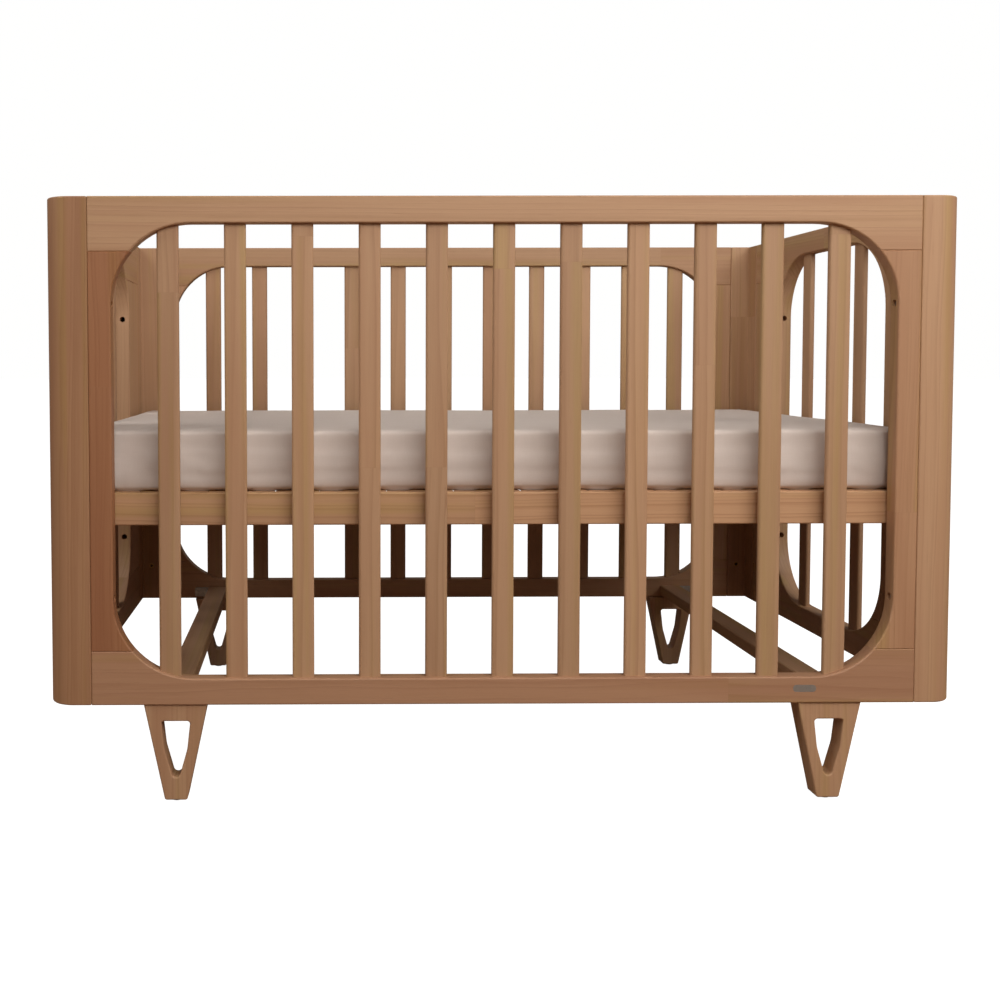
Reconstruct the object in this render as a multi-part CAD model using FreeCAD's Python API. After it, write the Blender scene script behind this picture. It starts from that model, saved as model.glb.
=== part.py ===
import FreeCAD, Part

import os
from math import sqrt

# Baby crib with a slatted timber frame, a height-adjustable slatted base and a foam mattress.
# Millimetres. +Z up, +X along the crib, the front side panel faces -Y.
# The origin is on the floor, under the middle of the crib.

# ---- Driving dimensions of the frame ----
crib_length = 1376.0        # over the corner posts, along X
crib_depth = 770.0          # over the corner posts, along Y
crib_height = 914.0         # floor to the top edge of the panels
leg_height = 150.0          # floor to the bottom edge of the panels
side_thickness = 26.0       # front and rear panels
end_thickness = 28.0        # left and right panels
post_width = 66.0           # each face of an L-shaped corner post
post_radius = 38.0          # rounded outer corner of a post
rail_height = 40.0          # rails between the slats
rail_blank = 82.0           # rails at their ends, where the opening curves into them
side_opening = 1176.0       # width of the opening in a front or rear panel
end_opening = 416.0         # width of the opening in a left or right panel
opening_radius = 120.0      # corners of every panel opening
edge_round = 2.5            # softened edges of frame members
joint_groove = 0.9          # small V where a rail meets a stile

# ---- Slats of the panels ----
slat_width = 33.0
slat_thickness = 10.0
slat_round = 4.0
side_slat_count = 11
side_slat_pitch = (side_opening + slat_width) / (side_slat_count + 1)
end_slat_count = 3
end_slat_pitch = 100.0
tenon_width = 25.0
tenon_thickness = 6.0
tenon_depth = 10.0

# ---- Legs and the bars that join them, front to back ----
leg_centre = 496.0          # X of each leg, left and right of the middle
leg_top_width = 96.5
leg_foot_width = 34.0
leg_corner_round = 4.0
leg_thickness = 32.0
leg_recess = 4.0            # outer face of a leg behind the outer face of its panel
window_drop = 26.0          # solid wood above the window in a leg
window_depth = 86.0
window_half_top = 22.0
window_half_middle = 17.2
window_half_foot = 5.0
window_corner = 4.5
window_bulge = 60.0         # radius that rounds off the bend in each side of the window
window_foot_round = 6.5
glide_height = 3.0
glide_radius = 9.0
glide_round = 0.75
glide_pin_radius = 1.5
glide_pin_length = 12.0
bar_width = 41.0
bar_height = 22.0
bar_lift = 3.0              # underside of a bar above the panel's bottom edge

# ---- Slatted base ----
base_rail_height = 50.0
base_rail_thickness = 22.0
base_rail_bottom = 418.5    # at the top of its three bolted heights
base_step = 111.0           # between the bolted heights
base_height_count = 3
base_side_gap = 3.0         # base to side panels
base_end_gap = 4.0          # base to end panels
base_end_rail_inset = 38.0  # end rails stand in from the ends of the side rails
base_slat_count = 13
base_slat_width = 68.0
base_slat_thickness = 12.0
housing_length = 11.0       # how far a slat's end is let into a side rail
housing_clearance = 0.3     # on each side of the slat

# ---- Mattress ----
mattress_length = 1310.0
mattress_width = 700.0
mattress_thickness = 97.5
mattress_corner = 45.0
mattress_edge = 8.0
mattress_gap = 0.4          # to the slats it lies on

# ---- Fasteners ----
bolt_radius = 3.0
bolt_head_radius = 5.0
bolt_head_height = 6.0
bolt_socket_radius = 2.5
bolt_socket_depth = 3.0
bolt_bore = 3.3
counterbore_radius = 5.5
side_counterbore = 10.0
end_counterbore = 60.0
panel_bolt_inset = 160.0    # bolts below the top and above the bottom edge of a panel
bolt_bite = 13.0            # bolt length inside its insert nut
insert_radius = 5.0
insert_bore = 3.1
insert_length = 15.0
leg_insert_radius = 4.5
leg_bolt_offset = 10.0
leg_counterbore = 7.0
leg_bolt_head_radius = 4.5
base_bolt_tip_gap = 1.0     # bolts of the base stop short of the posts
dowel_radius = 4.0
dowel_length = 30.0
leg_dowel_offset = 36.0
bracket_arm = 30.0
bracket_height = 20.0
bracket_sheet = 2.0
bracket_corner = 4.0
bracket_lift = 1.0          # underside of a bracket above the underside of its bar
bracket_screw_shares = (0.27, 0.85)   # places of the screws along an arm, clear of the dowels
screw_radius = 1.6
screw_head_radius = 3.3
screw_head_height = 2.2
bracket_screw_length = 14.0
slat_screw_length = 24.0
frame_screw_radius = 2.2
frame_screw_head_radius = 4.4
frame_screw_head_height = 3.0
frame_screw_length = 60.0
frame_screw_spacing = 28.0
overlap = 1.0               # cutting tools and joined solids run this far past a surface
name_plate_length = 35.0
name_plate_height = 11.0
name_plate_thickness = 1.2
name_plate_corner = 5.0
name_plate_x = 456.0
name_plate_z = leg_height + 22.5

# ---- Places worked out from the driving dimensions ----
half_length = crib_length / 2
half_depth = crib_depth / 2
panel_height = crib_height - leg_height
seam_x = half_length - post_width            # where a side panel meets its posts
seam_y = half_depth - post_width             # where an end panel meets its posts
inner_x = half_length - end_thickness        # inner face of the end panels
inner_y = half_depth - side_thickness        # inner face of the side panels
side_mid = half_depth - side_thickness / 2   # middle of a side panel's thickness
leg_outer_y = side_thickness / 2 - leg_recess   # faces of a leg, from the middle of its panel
leg_inner_y = leg_outer_y - leg_thickness
leg_mid = (leg_outer_y + leg_inner_y) / 2
end_mid = half_length - end_thickness / 2    # middle of an end panel's thickness
base_half_length = inner_x - base_end_gap
base_half_depth = inner_y - base_side_gap
base_rail_inner_y = base_half_depth - base_rail_thickness
base_rail_top = base_rail_bottom + base_rail_height
base_bolt_x = (seam_x + inner_x) / 2
base_bolt_z = base_rail_bottom + base_rail_height / 2
panel_bolt_heights = (leg_height + panel_bolt_inset, crib_height - panel_bolt_inset)
SIDES = (-1, 1)
X = FreeCAD.Vector(1, 0, 0)
Y = FreeCAD.Vector(0, 1, 0)
Z = FreeCAD.Vector(0, 0, 1)
ORIGIN = FreeCAD.Vector(0, 0, 0)


# ---- Small tools ----
def vec(x, y, z):
    return FreeCAD.Vector(x, y, z)


def block(x_range, y_range, z_range):
    """Box between two values on each axis, given in any order."""
    x0, x1 = sorted(x_range)
    y0, y1 = sorted(y_range)
    z0, z1 = sorted(z_range)
    return Part.makeBox(x1 - x0, y1 - y0, z1 - z0, vec(x0, y0, z0))


def rod(radius, start, direction, length):
    return Part.makeCylinder(radius, length, start, direction)


def cut_all(shape, tools):
    """Take the tools out of a shape and merge faces that the cut split."""
    tools = list(tools)
    if not tools:
        return shape
    return shape.cut(Part.makeCompound(tools)).removeSplitter()


def soften(shape, radius, keep):
    """Round the edges that keep(edge) accepts."""
    edges = [edge for edge in shape.Edges if keep(edge)]
    return shape.makeFillet(radius, edges)


def spans(edge, axis):
    """How far an edge reaches along X, Y or Z."""
    box = edge.BoundBox
    return {"x": box.XLength, "y": box.YLength, "z": box.ZLength}[axis]


def turned(shape, quarter_turns):
    """Turn about the vertical through the origin."""
    copy = shape.copy()
    copy.rotate(ORIGIN, Z, 90 * quarter_turns)
    return copy


def moved(shape, x=0.0, y=0.0, z=0.0):
    copy = shape.copy()
    copy.translate(vec(x, y, z))
    return copy


def mirrored(shape, side_x, side_y):
    """Mirror a part made for the +X, +Y quarter into the quarter that the signs name."""
    copy = shape
    if side_x < 0:
        copy = copy.mirror(ORIGIN, X)
    if side_y < 0:
        copy = copy.mirror(ORIGIN, Y)
    return copy


def save(name, shape):
    """Write one node. A list is written as a group of separate solids."""
    if isinstance(shape, list):
        shape = Part.makeCompound(shape)
    for solid in shape.Solids:
        if not solid.isValid():
            raise ValueError(name + " is not a valid solid")
    shape.exportStep("parts/" + name + ".step")


# ---- Panels: a frame of rails and stiles round a slatted opening ----
# A panel is made standing at the origin, centred in X, with its thickness centred on Y = 0.
def opening_prism(width, thickness):
    """The open space inside a panel's frame, with its large round corners."""
    reach = width / 2
    low = rail_height
    high = panel_height - rail_height
    space = block((-reach, reach), (-thickness, thickness), (low, high))
    return soften(space, opening_radius, lambda edge: spans(edge, "y") > thickness)


def frame_plate(width, opening, thickness):
    """The whole frame before it is parted into rails and stiles."""
    half = thickness / 2
    plate = block((-width / 2, width / 2), (-half, half), (0, panel_height))
    plate = plate.cut(opening_prism(opening, thickness))
    plate = soften(plate, edge_round, lambda edge: spans(edge, "y") < edge_round)
    grooves = []
    for joint in (rail_blank, panel_height - rail_blank):
        for face in (-half, half):
            bar = block((-width, width), (-joint_groove, joint_groove), (-joint_groove, joint_groove))
            bar.rotate(ORIGIN, X, 45)
            grooves.append(moved(bar, 0, face, joint))
    return cut_all(plate, grooves)


def slat_centres(count, pitch):
    first = -(count - 1) * pitch / 2
    return [first + index * pitch for index in range(count)]


def tenons(centre):
    """The two tongues of a slat, as they sit in the rails."""
    x_range = (centre - tenon_width / 2, centre + tenon_width / 2)
    y_range = (-tenon_thickness / 2, tenon_thickness / 2)
    bottom = rail_height - tenon_depth
    lower = block(x_range, y_range, (bottom, rail_height + tenon_depth))
    upper = block(x_range, y_range, (panel_height - rail_height - tenon_depth, panel_height - bottom))
    return [lower, upper]


def slat(centre, opening, thickness):
    """One flat slat with round edges, its shoulders cut to the shape of the opening."""
    x_range = (centre - slat_width / 2, centre + slat_width / 2)
    y_range = (-slat_thickness / 2, slat_thickness / 2)
    strip = block(x_range, y_range, (0, panel_height))
    strip = soften(strip, slat_round, lambda edge: spans(edge, "z") > slat_width)
    strip = strip.common(opening_prism(opening, thickness))
    return strip.fuse(tenons(centre)).removeSplitter()


def bolt_channel(seam, opening, counterbore, height):
    """Counterbored hole through the stile on the +X side, at one height."""
    edge = opening / 2
    shaft = rod(bolt_bore, vec(edge - bolt_bore, 0, height), X, seam - edge + 2 * bolt_bore)
    pocket = rod(counterbore_radius, vec(edge - counterbore, 0, height), X, 2 * counterbore)
    return shaft.fuse(pocket)


def panel(width, opening, thickness, count, pitch, counterbore):
    """Rails, stiles and slats of one panel, as a dictionary of solids."""
    plate = frame_plate(width, opening, thickness)
    wide = (-width, width)
    deep = (-thickness, thickness)
    bottom_rail = plate.common(block(wide, deep, (0, rail_blank)))
    top_rail = plate.common(block(wide, deep, (panel_height - rail_blank, panel_height)))
    between = (rail_blank, panel_height - rail_blank)
    left_stile = plate.common(block((-width, 0), deep, between))
    right_stile = plate.common(block((0, width), deep, between))
    centres = slat_centres(count, pitch)
    tongues = [tenons(centre) for centre in centres]
    channels = []
    for height in (panel_bolt_inset, panel_height - panel_bolt_inset):
        channel = bolt_channel(width / 2, opening, counterbore, height)
        channels.append(channel)
        channels.append(channel.mirror(ORIGIN, X))
    return {
        "bottom_rail": cut_all(bottom_rail, [pair[0] for pair in tongues]),
        "top_rail": cut_all(top_rail, [pair[1] for pair in tongues]),
        "left_stile": cut_all(left_stile, channels),
        "right_stile": cut_all(right_stile, channels),
        "slats": [slat(centre, opening, thickness) for centre in centres],
    }


# ---- Corner posts ----
def post():
    """Post of the +X, +Y corner: an L in plan, with a round outer corner."""
    x_out = half_length
    y_out = half_depth
    outline = [
        vec(x_out - post_radius, y_out, leg_height),
        vec(seam_x, y_out, leg_height),
        vec(seam_x, inner_y, leg_height),
        vec(inner_x, inner_y, leg_height),
        vec(inner_x, seam_y, leg_height),
        vec(x_out, seam_y, leg_height),
        vec(x_out, y_out - post_radius, leg_height),
    ]
    edges = [Part.makeLine(a, b) for a, b in zip(outline[:-1], outline[1:])]
    inset = post_radius * (1 - sqrt(0.5))
    middle = vec(x_out - inset, y_out - inset, leg_height)
    edges.append(Part.Arc(outline[-1], middle, outline[0]).toShape())
    body = Part.Face(Part.Wire(edges)).extrude(Z * panel_height)

    def outer_edge(edge):
        box = edge.BoundBox
        if box.ZLength < 1:
            return True
        at_end = box.XMax < seam_x + 1 or box.YMax < seam_y + 1
        return at_end and box.XLength < 1 and box.YLength < 1

    body = soften(body, edge_round, outer_edge)
    holes = []
    for height in panel_bolt_heights:
        holes.append(rod(insert_radius, vec(seam_x, side_mid, height), X, insert_length))
        holes.append(rod(insert_radius, vec(end_mid, seam_y, height), Y, insert_length))
    for height in base_heights():
        holes.append(rod(insert_radius, vec(base_bolt_x, inner_y, height), Y, insert_length))
    return cut_all(body, holes)


def base_heights():
    """Heights of the bolt holes for the base, from the top one down."""
    return [base_bolt_z - index * base_step for index in range(base_height_count)]


# ---- Legs, bars and glides ----
def leg_outline_points():
    half_top = leg_top_width / 2
    half_foot = leg_foot_width / 2
    return [
        vec(-half_top, 0, leg_height),
        vec(half_top, 0, leg_height),
        vec(half_foot, 0, glide_height),
        vec(-half_foot, 0, glide_height),
    ]


def leg_window():
    """Rounded triangular window, its sides slightly convex, as a prism through the leg."""
    top = leg_height - window_drop
    foot = top - window_depth
    middle = (top + foot) / 2
    points = [
        vec(-window_half_top, 0, top),
        vec(window_half_top, 0, top),
        vec(window_half_middle, 0, middle),
        vec(window_half_foot, 0, foot),
        vec(-window_half_foot, 0, foot),
        vec(-window_half_middle, 0, middle),
    ]
    prism = Part.Face(Part.makePolygon(points + points[:1])).extrude(Y * 2 * side_thickness)
    prism.translate(vec(0, -side_thickness, 0))
    for height, radius in ((top, window_corner), (middle, window_bulge), (foot, window_foot_round)):
        prism = soften(prism, radius, lambda edge: through_corner(edge, height))
    return prism


def through_corner(edge, height):
    """True for a window's front-to-back corner at this height."""
    return spans(edge, "y") > side_thickness and abs(edge.BoundBox.Center.z - height) < 1


def leg():
    """One tapered plate leg with its window, for the +Y side, its panel's middle at Y = 0."""
    points = leg_outline_points()
    wire = Part.makePolygon(points + points[:1])
    body = Part.Face(wire).extrude(Y * leg_thickness)
    body.translate(vec(0, leg_inner_y, 0))

    def foot_corner(edge):
        return spans(edge, "y") > 1 and edge.BoundBox.ZMax < leg_height / 2

    body = soften(body, leg_corner_round, foot_corner)
    body = body.cut(leg_window())
    body = soften(body, edge_round, lambda edge: spans(edge, "y") < 1)
    holes = [rod(glide_pin_radius, vec(0, leg_mid, glide_height), Z, glide_pin_length)]
    seat = leg_height - window_drop + leg_counterbore
    for side in SIDES:
        x = side * leg_bolt_offset
        holes.append(rod(bolt_bore, vec(x, 0, seat - overlap), Z, leg_height - seat + 2 * overlap))
        pocket_start = vec(x, 0, seat - 2 * leg_counterbore)
        holes.append(rod(counterbore_radius, pocket_start, Z, 2 * leg_counterbore))
        dowel_start = vec(side * leg_dowel_offset, 0, leg_height - dowel_length / 2)
        holes.append(rod(dowel_radius, dowel_start, Z, dowel_length))
    return cut_all(body, holes)


def glide():
    """Nylon glide with its pin, pressed into the foot of a leg."""
    disc = rod(glide_radius, ORIGIN, Z, glide_height)
    disc = soften(disc, glide_round, lambda edge: edge.BoundBox.ZMax < glide_height / 2)
    return disc.fuse(rod(glide_pin_radius, vec(0, 0, glide_height / 2), Z,
                         glide_pin_length + glide_height / 2)).removeSplitter()


def cross_bar():
    """Front-to-back bar between the bottom rails, behind each pair of legs."""
    z0 = leg_height + bar_lift
    bar = block((-bar_width / 2, bar_width / 2), (-inner_y, inner_y), (z0, z0 + bar_height))
    bar = soften(bar, edge_round, lambda edge: spans(edge, "y") > bar_width)
    return cut_all(bar, [bar_dowel(side) for side in SIDES])


def bar_dowel(side):
    """Dowel from a bottom rail into the end of a bar, centred on X = 0."""
    z = leg_height + bar_lift + bar_height / 2
    return rod(dowel_radius, vec(0, side * inner_y - dowel_length / 2, z), Y, dowel_length)


def bracket(side_x, side_y):
    """Steel angle in the corner between a bar and a bottom rail, on the outer side."""
    z0 = leg_height + bar_lift + bracket_lift
    x0 = leg_centre + bar_width / 2
    z_range = (z0, z0 + bracket_height)
    arm_on_bar = block((x0, x0 + bracket_sheet), (inner_y - bracket_arm, inner_y), z_range)
    arm_on_rail = block((x0, x0 + bracket_arm), (inner_y - bracket_sheet, inner_y), z_range)
    angle = arm_on_bar.fuse(arm_on_rail).removeSplitter()

    def free_corner(edge):
        box = edge.BoundBox
        across_bar_arm = box.YMax < inner_y - bracket_arm + 1 and spans(edge, "x") > 1
        across_rail_arm = box.XMin > x0 + bracket_arm - 1 and spans(edge, "y") > 1
        return across_bar_arm or across_rail_arm

    angle = soften(angle, bracket_corner, free_corner)
    angle = cut_all(angle, bracket_screw_shanks())
    return mirrored(angle, side_x, side_y)


def bracket_screw_places():
    """Start and direction of the screws of the bracket in the +X, +Y quarter."""
    z = leg_height + bar_lift + bracket_lift + bracket_height / 2
    x0 = leg_centre + bar_width / 2
    places = []
    for share in bracket_screw_shares:
        along = share * bracket_arm
        places.append((vec(x0 + bracket_sheet, inner_y - along, z), vec(-1, 0, 0)))
        places.append((vec(x0 + along, inner_y - bracket_sheet, z), vec(0, 1, 0)))
    return places


def bracket_screw_shanks():
    return [rod(screw_radius, start - direction * overlap, direction, bracket_screw_length + overlap)
            for start, direction in bracket_screw_places()]


def pan_screw(start, direction):
    """Screw with a flat round head standing on the surface at its start."""
    head = rod(screw_head_radius, start - direction * screw_head_height, direction, screw_head_height)
    shank = rod(screw_radius, start - direction * overlap, direction, bracket_screw_length + overlap)
    return head.fuse(shank).removeSplitter()


def sunk_screw(radius, head_radius, head_height, start, direction, length):
    """Countersunk screw whose head is flush with the surface at its start."""
    head = Part.makeCone(head_radius, radius, head_height, start, direction)
    shank = rod(radius, start + direction * (head_height / 2), direction, length - head_height / 2)
    return head.fuse(shank).removeSplitter()


def cap_bolt(radius, head_radius, start, direction, length):
    """Socket-head bolt. start is the middle of the head's underside."""
    head_start = start - direction * bolt_head_height
    head = rod(head_radius, head_start, direction, bolt_head_height)
    socket = hexagon(head_start, direction)
    shank = rod(radius, start - direction * overlap, direction, length + overlap)
    return head.fuse(shank).removeSplitter().cut(socket)


def hexagon(start, direction):
    """Hexagon socket sunk into a bolt head."""
    across = FreeCAD.Vector(direction.z, direction.x, direction.y)
    points = []
    for index in range(6):
        turn = FreeCAD.Rotation(direction, 60 * index)
        points.append(start + turn.multVec(across * bolt_socket_radius))
    face = Part.Face(Part.makePolygon(points + points[:1]))
    return face.extrude(direction * bolt_socket_depth)


def insert_nut(radius, start, direction):
    """Threaded insert, its bore clear of the bolt by a hair."""
    outside = rod(radius, start, direction, insert_length)
    return outside.cut(rod(insert_bore, start, direction, insert_length))


# ---- Slatted base, at the top of its travel ----
def base_side_rail():
    """Rail on the +Y side, with a housing for the end of each slat and holes for the bolts."""
    rail = block((-base_half_length, base_half_length), (base_rail_inner_y, base_half_depth),
                 (base_rail_bottom, base_rail_top))

    def long_outer_edge(edge):
        return spans(edge, "x") > base_half_length and edge.BoundBox.YMin > base_rail_inner_y + 1

    rail = soften(rail, edge_round, long_outer_edge)
    half = base_slat_width / 2 + housing_clearance
    cuts = [block((centre - half, centre + half),
                  (base_rail_inner_y - overlap, base_rail_inner_y + housing_length),
                  (base_rail_top - base_slat_thickness, base_rail_top + overlap))
            for centre in base_slat_centres()]
    for side in SIDES:
        cuts.append(rod(bolt_bore, vec(side * base_bolt_x, base_rail_inner_y - overlap, base_bolt_z), Y,
                        base_rail_thickness + 2 * overlap))
    cuts += [screw for screw in base_frame_screws() if screw.BoundBox.YMin > 0]
    cuts += [screw for screw in base_slat_screws() if screw.BoundBox.YMin > 0]
    return cut_all(rail, cuts)


def base_end_rail():
    """Rail on the +X side, between the two side rails and under the slats."""
    outer = base_half_length - base_end_rail_inset
    rail = block((outer - base_rail_thickness, outer), (-base_rail_inner_y, base_rail_inner_y),
                 (base_rail_bottom, base_rail_top - base_slat_thickness))
    return cut_all(rail, [screw for screw in base_frame_screws() if screw.BoundBox.XMin > 0])


def base_frame_screws():
    """Screws through the side rails into the ends of the end rails."""
    x = base_half_length - base_end_rail_inset - base_rail_thickness / 2
    middle = (base_rail_bottom + base_rail_top - base_slat_thickness) / 2
    screws = []
    for side_x in SIDES:
        for side_y in SIDES:
            for step in (-0.5, 0.5):
                start = vec(side_x * x, side_y * base_half_depth, middle + step * frame_screw_spacing)
                screws.append(sunk_screw(frame_screw_radius, frame_screw_head_radius,
                                         frame_screw_head_height, start, Y * -side_y, frame_screw_length))
    return screws


def base_slat_centres():
    return slat_centres(base_slat_count, (2 * base_half_length - base_slat_width) / (base_slat_count - 1))


def base_slat_screws():
    """One screw through each end of each slat into its housing in a side rail."""
    y = base_rail_inner_y + housing_length / 2
    screws = []
    for centre in base_slat_centres():
        for side in SIDES:
            start = vec(centre, side * y, base_rail_top)
            screws.append(sunk_screw(screw_radius, screw_head_radius, screw_head_height, start, Z * -1,
                                     slat_screw_length))
    return screws


def base_slats():
    reach = base_rail_inner_y + housing_length
    z_range = (base_rail_top - base_slat_thickness, base_rail_top)
    screws = base_slat_screws()
    slats = []
    for centre in base_slat_centres():
        x_range = (centre - base_slat_width / 2, centre + base_slat_width / 2)
        strip = block(x_range, (-reach, reach), z_range)
        strip = soften(strip, edge_round, lambda edge: spans(edge, "y") > reach)
        own = [screw for screw in screws if abs(screw.BoundBox.Center.x - centre) < 1]
        slats.append(cut_all(strip, own))
    return slats


def base_bolts():
    """Bolts at the four corners of the base, heads inside the base."""
    bolts = []
    for side_x in SIDES:
        for side_y in SIDES:
            start = vec(side_x * base_bolt_x, side_y * base_rail_inner_y, base_bolt_z)
            length = base_rail_thickness + base_side_gap - base_bolt_tip_gap
            bolts.append(cap_bolt(bolt_radius, bolt_head_radius, start, Y * side_y, length))
    return bolts


# ---- Mattress ----
def mattress():
    z0 = base_rail_top + mattress_gap
    reach_x = mattress_length / 2
    reach_y = mattress_width / 2
    body = block((-reach_x, reach_x), (-reach_y, reach_y), (z0, z0 + mattress_thickness))
    body = soften(body, mattress_corner, lambda edge: spans(edge, "z") > 1)
    return soften(body, mattress_edge, lambda edge: spans(edge, "z") < 1)


# ---- Name plate ----
def name_plate():
    """Blank metal plate let in flush with the front of the bottom rail."""
    half = name_plate_length / 2
    tall = name_plate_height / 2
    plate = block((name_plate_x - half, name_plate_x + half),
                  (-half_depth, -half_depth + name_plate_thickness),
                  (name_plate_z - tall, name_plate_z + tall))
    return soften(plate, name_plate_corner, lambda edge: spans(edge, "y") > name_plate_thickness / 2)


# ---- Fasteners of the frame ----
def panel_bolts(seam, opening, counterbore, middle, along):
    """The eight bolts of a pair of panels. along is the axis the bolts follow."""
    start = opening / 2 + counterbore
    length = seam - start + bolt_bite
    bolts = []
    for height in panel_bolt_heights:
        for side in SIDES:
            for face in SIDES:
                if along == "x":
                    place = vec(side * start, face * middle, height)
                    direction = X * side
                else:
                    place = vec(face * middle, side * start, height)
                    direction = Y * side
                bolts.append(cap_bolt(bolt_radius, bolt_head_radius, place, direction, length))
    return bolts


def post_inserts():
    """Insert nuts of the posts: for the panels, and for the three heights of the base."""
    nuts = []
    for height in panel_bolt_heights:
        for side_x in SIDES:
            for side_y in SIDES:
                into_side = vec(side_x * seam_x, side_y * side_mid, height)
                into_end = vec(side_x * end_mid, side_y * seam_y, height)
                nuts.append(insert_nut(insert_radius, into_side, X * side_x))
                nuts.append(insert_nut(insert_radius, into_end, Y * side_y))
    for height in base_heights():
        for side_x in SIDES:
            for side_y in SIDES:
                start = vec(side_x * base_bolt_x, side_y * inner_y, height)
                nuts.append(insert_nut(insert_radius, start, Y * side_y))
    return nuts


def leg_places():
    return [(side_x * leg_centre, side_y * side_mid) for side_y in SIDES for side_x in SIDES]


def leg_bolt_set():
    """Bolts that go up from the leg windows into the bottom rails."""
    seat = leg_height - window_drop + leg_counterbore
    bolts = []
    for x, y in leg_places():
        for side in SIDES:
            start = vec(x + side * leg_bolt_offset, y, seat)
            length = leg_height - seat + bolt_bite
            bolts.append(cap_bolt(bolt_radius, leg_bolt_head_radius, start, Z, length))
    return bolts


def leg_insert_set():
    nuts = []
    for x, y in leg_places():
        for side in SIDES:
            start = vec(x + side * leg_bolt_offset, y, leg_height)
            nuts.append(insert_nut(leg_insert_radius, start, Z))
    return nuts


def dowel_set():
    """Hardwood dowels, two in the top of each leg and one in each end of a cross bar."""
    pins = []
    for x, y in leg_places():
        for side in SIDES:
            start = vec(x + side * leg_dowel_offset, y, leg_height - dowel_length / 2)
            pins.append(rod(dowel_radius, start, Z, dowel_length))
    for side_x in SIDES:
        pins += [moved(bar_dowel(side_y), side_x * leg_centre) for side_y in SIDES]
    return pins


def bracket_screw_set():
    screws = [pan_screw(start, direction) for start, direction in bracket_screw_places()]
    return [mirrored(screw, side_x, side_y) for side_x in SIDES for side_y in SIDES for screw in screws]


# ---- Assembly ----
def bottom_rail_cuts():
    """Everything let into the bottom rails of the front and rear panels."""
    cuts = []
    for nut in leg_insert_set():
        centre = nut.BoundBox.Center
        cuts.append(rod(leg_insert_radius, vec(centre.x, centre.y, leg_height), Z, insert_length))
    cuts += dowel_set()
    for side_x in SIDES:
        for side_y in SIDES:
            cuts += [mirrored(shank, side_x, side_y) for shank in bracket_screw_shanks()]
    return cuts


def place_side_panel(name, side, parts):
    """Stand a side panel in place. side is -1 for the front and 1 for the rear."""
    place = dict(y=side * side_mid, z=leg_height)
    cuts = bottom_rail_cuts()
    if side < 0:
        cuts.append(name_plate())
    save(name + "_bottom_rail", cut_all(moved(parts["bottom_rail"], **place), cuts))
    save(name + "_top_rail", moved(parts["top_rail"], **place))
    save(name + "_left_stile", moved(parts["left_stile"], **place))
    save(name + "_right_stile", moved(parts["right_stile"], **place))
    return [moved(strip, **place) for strip in parts["slats"]]


def place_end_panel(name, side, parts):
    """Stand an end panel in place. side is -1 for the left and 1 for the right."""
    place = dict(x=side * end_mid, z=leg_height)
    for part, label in (("bottom_rail", "bottom_rail"), ("top_rail", "top_rail"),
                        ("left_stile", "front_stile"), ("right_stile", "rear_stile")):
        save(name + "_" + label, moved(turned(parts[part], 1), **place))
    save(name + "_slats", [moved(turned(strip, 1), **place) for strip in parts["slats"]])


def main():
    os.makedirs("parts", exist_ok=True)

    side_parts = panel(2 * seam_x, side_opening, side_thickness, side_slat_count, side_slat_pitch,
                       side_counterbore)
    front_slats = place_side_panel("front", -1, side_parts)
    for index, strip in enumerate(front_slats):
        save("front_slat_%02d" % (index + 1), strip)
    save("rear_slats", place_side_panel("rear", 1, side_parts))
    end_parts = panel(2 * seam_y, end_opening, end_thickness, end_slat_count, end_slat_pitch,
                      end_counterbore)
    place_end_panel("left_end", -1, end_parts)
    place_end_panel("right_end", 1, end_parts)

    corner = post()
    plate_leg = leg()
    for side_y, depth_name in ((-1, "front"), (1, "rear")):
        for side_x, width_name in ((-1, "left"), (1, "right")):
            save("%s_%s_post" % (depth_name, width_name), mirrored(corner, side_x, side_y))
            save("%s_%s_leg" % (depth_name, width_name),
                 mirrored(moved(plate_leg, leg_centre, side_mid), side_x, side_y))
    glide_y = side_mid + leg_mid
    save("floor_glides", [moved(glide(), side_x * leg_centre, side_y * glide_y)
                          for side_y in SIDES for side_x in SIDES])

    bar_cuts = [mirrored(shank, 1, side_y) for side_y in SIDES for shank in bracket_screw_shanks()]
    right_bar = cut_all(moved(cross_bar(), leg_centre), bar_cuts)
    save("right_cross_bar", right_bar)
    save("left_cross_bar", mirrored(right_bar, -1, 1))
    save("cross_bar_brackets", [bracket(side_x, side_y) for side_x in SIDES for side_y in SIDES])
    save("bracket_screws", bracket_screw_set())
    save("dowels", dowel_set())

    save("side_panel_bolts", panel_bolts(seam_x, side_opening, side_counterbore, side_mid, "x"))
    save("end_panel_bolts", panel_bolts(seam_y, end_opening, end_counterbore, end_mid, "y"))
    save("post_insert_nuts", post_inserts())
    save("leg_bolts", leg_bolt_set())
    save("leg_insert_nuts", leg_insert_set())
    save("name_plate", name_plate())

    rear_rail = base_side_rail()
    save("base_rear_rail", rear_rail)
    save("base_front_rail", mirrored(rear_rail, 1, -1))
    right_rail = base_end_rail()
    save("base_right_rail", right_rail)
    save("base_left_rail", mirrored(right_rail, -1, 1))
    save("base_slats", base_slats())
    save("base_slat_screws", base_slat_screws())
    save("base_frame_screws", base_frame_screws())
    save("base_bolts", base_bolts())
    save("mattress", mattress())


main()
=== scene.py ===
import math

import bmesh
import bpy
import numpy as np
from mathutils import Matrix, Vector, noise
from mathutils.bvhtree import BVHTree


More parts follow.
